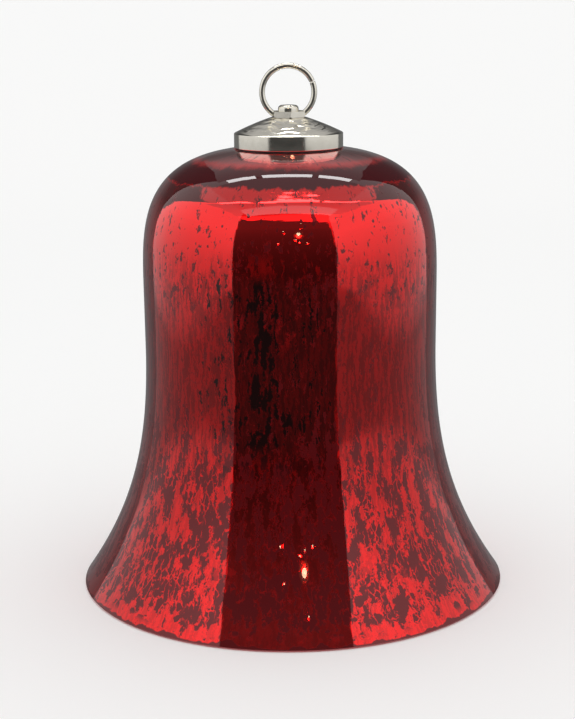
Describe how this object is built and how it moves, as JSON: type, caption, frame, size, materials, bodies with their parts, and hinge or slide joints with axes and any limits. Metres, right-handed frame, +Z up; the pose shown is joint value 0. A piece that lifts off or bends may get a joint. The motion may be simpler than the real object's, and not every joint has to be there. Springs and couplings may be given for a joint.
{
  "type": "christmas bell ornament",
  "caption": "Open-mouthed glass bell with mottled red silvering, a metal cap and hanging ring on its crown, and a clapper that swings inside.",
  "frame": {"origin": "on the plane of the ground lip, below the centre of the crown", "axes": "+Z up along the bell's axis from mouth to hanging ring; the hanging ring lies in the XZ plane, so a hook passes through it along Y"},
  "size_m": [0.1906, 0.1906, 0.2319],
  "materials": {
    "mirrored_glass": "red-tinted glass over a mottled mirror coating on its inner face, glossy",
    "nickel": "bright nickel plate, a little warm",
    "zinc_steel": "zinc-plated steel, dull bright",
    "rubber": "matt black rubber"
  },
  "bodies": {
    "bell": {"glass_bell": "mirrored_glass", "crown_gasket": "rubber", "cap": "nickel", "hanger_bolt": "nickel", "rubber_bush": "rubber", "inner_washer": "zinc_steel", "lock_nut": "zinc_steel", "clapper_eye": "zinc_steel"},
    "ring": {"hanging_ring": "nickel"},
    "link": {"clapper_link": "zinc_steel"},
    "clapper": {"clapper_rod": "zinc_steel", "clapper_ball": "nickel", "clapper_nut": "nickel"}
  },
  "joints": [
    {"name": "ring_rock", "type": "hinge", "parent": "bell", "child": "ring", "pos_m": [0, 0, 0.2079], "axis": [1, 0, 0], "range_deg": [-8, 8]},
    {"name": "link_swing", "type": "hinge", "parent": "bell", "child": "link", "pos_m": [0, 0, 0.16755], "axis": [1, 0, 0], "range_deg": [-6, 6]},
    {"name": "clapper_swing", "type": "hinge", "parent": "link", "child": "clapper", "pos_m": [0, 0, 0.15505], "axis": [0, 1, 0], "range_deg": [-27, 27]}
  ]
}
